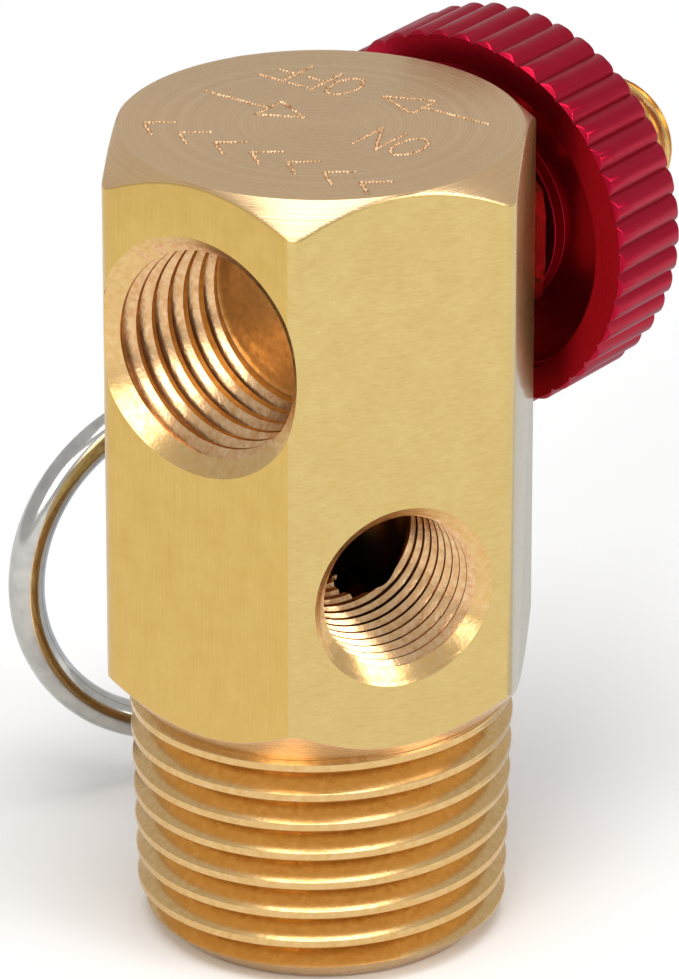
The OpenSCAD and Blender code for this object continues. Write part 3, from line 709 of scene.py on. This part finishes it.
def moulded(name, low, high, roughness, scale):
    # rubber or plastic from a mould: no metal, a fine even grain
    m, tree, output = newMaterial(name)
    grain = noise(tree, add(tree, "ShaderNodeTexCoord").outputs["Object"], scale)
    bump = add(tree, "ShaderNodeBump", {"Strength": 0.2, "Distance": 0.00002, "Height": grain}).outputs[0]
    finish(tree, output, add(tree, "ShaderNodeBsdfPrincipled", {
        "Base Color": blendColour(tree, grain, low, high), "Roughness": roughness, "Normal": bump}))
    return m


def softbox(name, azimuth, elevation, side, brightness, distance=1.1):
    # a square lamp that faces the object: its power makes its face that bright
    data = bpy.data.lights.new(name, "AREA")
    data.shape = "RECTANGLE"
    data.size = data.size_y = side
    data.energy = brightness * math.pi * side * side
    lamp = bpy.data.objects.new(name, data)
    scene.collection.objects.link(lamp)
    away = direction(azimuth, elevation)
    facing = away.to_track_quat("Z", "Y").to_matrix().to_4x4()
    lamp.matrix_world = Matrix.Translation(away * distance) @ facing


def card(name, corners, grey):
    # a plain card beside the object that shows only in reflections
    mesh = bpy.data.meshes.new(name)
    mesh.from_pydata(corners, [], [(0, 1, 2, 3)])
    m, tree, output = newMaterial(name)
    finish(tree, output, add(tree, "ShaderNodeEmission", {"Color": (*grey, 1), "Strength": 1.0}))
    mesh.materials.append(m)
    piece = bpy.data.objects.new(name, mesh)
    scene.collection.objects.link(piece)
    piece.visible_camera = piece.visible_diffuse = piece.visible_shadow = False


# brightness of the surroundings, and a grey card beside the object, in metres
light = {"sky": 0.64, "fill": 0.3, "cardLow": (0.02, -0.03), "cardHigh": (0.14, 0.07), "cardUp": 0.0001,
         "cardGrey": (0.66, 0.7, 0.76)}
# azimuth and elevation in degrees, side in metres, brightness
lamps = {"topLight": (216, 78, 0.8, 4.1), "leftLight": (193, 25, 0.5, 5.0),
         "rightLight": (278, 28, 0.5, 5.0)}


def studio():
    world = bpy.data.worlds.new("studio")
    scene.world = world
    world.use_nodes = True
    tree = world.node_tree
    tree.nodes.clear()
    output = tree.nodes.new("ShaderNodeOutputWorld")
    path = add(tree, "ShaderNodeLightPath")
    # white behind the object, grey sky in its reflections, a low fill on the floor
    level = add(tree, "ShaderNodeMix", {
        "Factor": path.outputs["Is Glossy Ray"], 2: light["fill"], 3: light["sky"]}).outputs[0]
    level = add(tree, "ShaderNodeMix", {"Factor": path.outputs["Is Camera Ray"], 2: level, 3: 1.0}).outputs[0]
    shader = add(tree, "ShaderNodeBackground", {"Color": (1, 1, 1, 1), "Strength": level})
    tree.links.new(shader.outputs[0], output.inputs["Surface"])

    mesh = bpy.data.meshes.new("floor")
    half, under = 1.5, -0.00005
    corners = [(-half, -half, under), (half, -half, under), (half, half, under), (-half, half, under)]
    mesh.from_pydata(corners, [], [(0, 1, 2, 3)])
    m, tree, output = newMaterial("floorPaper")
    finish(tree, output, add(tree, "ShaderNodeBsdfDiffuse", {"Color": linear("#FAFAFA")}))
    mesh.materials.append(m)
    floor = bpy.data.objects.new("floor", mesh)
    scene.collection.objects.link(floor)
    for name, (azimuth, elevation, side, brightness) in lamps.items():
        softbox(name, azimuth, elevation, side, brightness)
    (x, y), (farX, farY), up = light["cardLow"], light["cardHigh"], light["cardUp"]
    card("behindCard", [(x, y, up), (farX, y, up), (farX, farY, up), (x, farY, up)], light["cardGrey"])


addCamera()
studio()
print("stage and camera set")

# drawn brass bar with fine lines up some faces and a level grain on the others, under a thin lacquer; the
# level-grained faces, turned to the right of the view, are also paler: painted light
drawn = metal("drawnBrass", "#C8A250", "#D3B062", 0.3, verticalGrain, 0.25, 0.5)
groundLit = metal("groundBrassLit", "#C6AA64", "#D2B776", 0.3, levelGrain, 0.25, 0.5)
# bare brass, paler: turned ends show rings, cut threads a bright chatter, drilled and peened marks are rough;
# the drilled floor is also brighter, painted light, and the peened pits darker, painted shade
faced = metal("turnedBrass", "#D5AF82", "#E2C193", 0.28, latheRings, 0.5)
dieCut = metal("dieCutBrass", "#D0A868", "#DDBA84", 0.24, chatter, 0.2)
tapCut = metal("tapCutBrass", "#CC9A66", "#E2BE92", 0.2, chatter, 0.2)
# the hose port's drilled floor gets a brighter brass than the rest: painted light in the bore
drilledLit = metal("drilledBrassLit", "#D6A65E", "#F0C67E", 0.45, chatter, 0.3)
# the peened pits get a darker brass than the turned end round them: painted shade in the pits
peenedShaded = metal("peenedBrassShaded", "#96704C", "#D2AE88", 0.5, chatter, 0.3)
fitting = metal("fittingBrass", "#D0A860", "#DFBD80", 0.24, chatter, 0.2)
# aluminium anodised red: dye under a hard clear skin, over turned marks
red = metal("anodisedRedAluminium", "#9A0826", "#B01232", 0.34, knobGrain, 0.2, 0.06, 0.3)
# nickel-plated steel wire, nearly a mirror
steel = metal("platedSteelWire", "#B2B0AC", "#C8C6C0", 0.15, cloud, 0.08)
rubber = moulded("nitrileRubber", "#141414", "#202020", 0.6, 3000.0)
nylon = moulded("whiteNylon", "#DADAD4", "#EAEAE6", 0.45, 2000.0)


bodyMetals = {"drawn": drawn, "faced": faced, "dieCut": dieCut, "tapCut": tapCut, "groundLit": groundLit,
              "peenedShaded": peenedShaded, "drilledLit": drilledLit}
pick = {metalName: place for place, metalName in enumerate(bodyMetals)}


def bodyFinish(centre, normal):
    # which metal each face shows, by where it lies and which way it looks: the ports' insides come first
    radius = np.hypot(centre[:, 0], centre[:, 1])
    flat = body["acrossFlats"] / 2
    angle = np.arctan2(centre[:, 1], centre[:, 0])
    wall = hexRadius(angle, flat, body["cornerRound"])
    picks = np.full(len(centre), pick["tapCut"])
    outside = radius > wall - 0.03
    upright = outside & (np.abs(normal[:, 2]) < 0.3)
    # faces turned to the right of the view take the paler level-grained brass: painted light
    picks[upright] = np.where(normal[upright] @ [-0.5, -0.866, 0] > 0.74, pick["groundLit"], pick["drawn"])
    picks[upright & (normal @ np.array([0.5, -0.866, 0]) > 0.86)] = pick["groundLit"]
    cornerCone = (centre[:, 2] > 40) & (normal[:, 2] > 0.5) & (radius > 10.5)
    ends = (centre[:, 2] > body["height"] - 0.03) | cornerCone
    low = (centre[:, 2] < 17) & (radius > 8.6)
    shoulderLine = body["shoulder"] + (radius - body["threadRoot"]) * body["shoulderSlope"]
    picks[ends] = pick["faced"]
    onShoulder = np.abs(centre[:, 2] - shoulderLine) < 0.12
    picks[low & onShoulder & (np.abs(normal[:, 2]) > 0.3)] = pick["faced"]
    picks[low & (centre[:, 2] < shoulderLine - 0.12)] = pick["dieCut"]
    picks[centre[:, 2] < 0.01] = pick["faced"]
    # the hose port's floor takes the brighter drilled brass: painted light in the bore
    picks[(normal[:, 0] < -0.9) & (centre[:, 0] > -4) & (centre[:, 2] > 30)] = pick["drilledLit"]
    for port, height, degrees in ((hoseThread, "portHeight", 180), (gaugeThread, "gaugeHeight", 240)):
        along = centre @ np.array(direction(degrees, 0))
        level = np.abs(centre[:, 2] - body[height]) < port["mouth"]
        mouth = level & (along > flat - port["coneDepth"] - 0.02)
        picks[mouth & ~outside & (radius < wall - 0.03)] = pick["dieCut"]
    # the engraved pits take the darker peened brass: painted shade in them
    picks[(centre[:, 2] > body["height"] - 0.12) & (normal[:, 2] < 0.95) & (radius < 10.4)] = pick["peenedShaded"]
    return picks


settle(valveBody(), "body", bodyMetals.values(), ["valve_body"], 30, bodyFinish)
print("valve body made")
settle(makeKnob(), "knob", [red], ["knob"], 40)
settle(makeSpindle(), "knob", [fitting], ["spindle"])
print("knob and spindle made")
housing, nut, cap, rod = reliefPieces()
settle(housing, "body", [fitting], ["relief_housing"])
settle(nut, "body", [fitting], ["relief_lock_nut"])
settle(cap, "body", [fitting], ["relief_cap"])
settle(rod, "relief", [steel], ["relief_stem"])
settle(glandNut(), "body", [fitting], ["gland_nut"])
settle(makeRing(), "ring", [steel], ["pull_ring"], 50)
print("relief valve and ring made")

for nodeName, material in {
        "gland_o_ring": rubber, "gland_washer": nylon, "seat_holder": fitting, "seat_washer": rubber,
        "knob_clip": steel, "fill_core_barrel": fitting, "fill_core_gasket": nylon, "fill_core_pin": fitting,
        "fill_core_seal": rubber, "fill_core_spring": steel, "relief_washer": nylon, "relief_poppet": fitting,
        "relief_seal": rubber, "relief_spring": steel}.items():
    nodes[nodeName].data.materials.clear()
    nodes[nodeName].data.materials.append(material)
print("plain fittings finished")

bpy.context.view_layer.update()
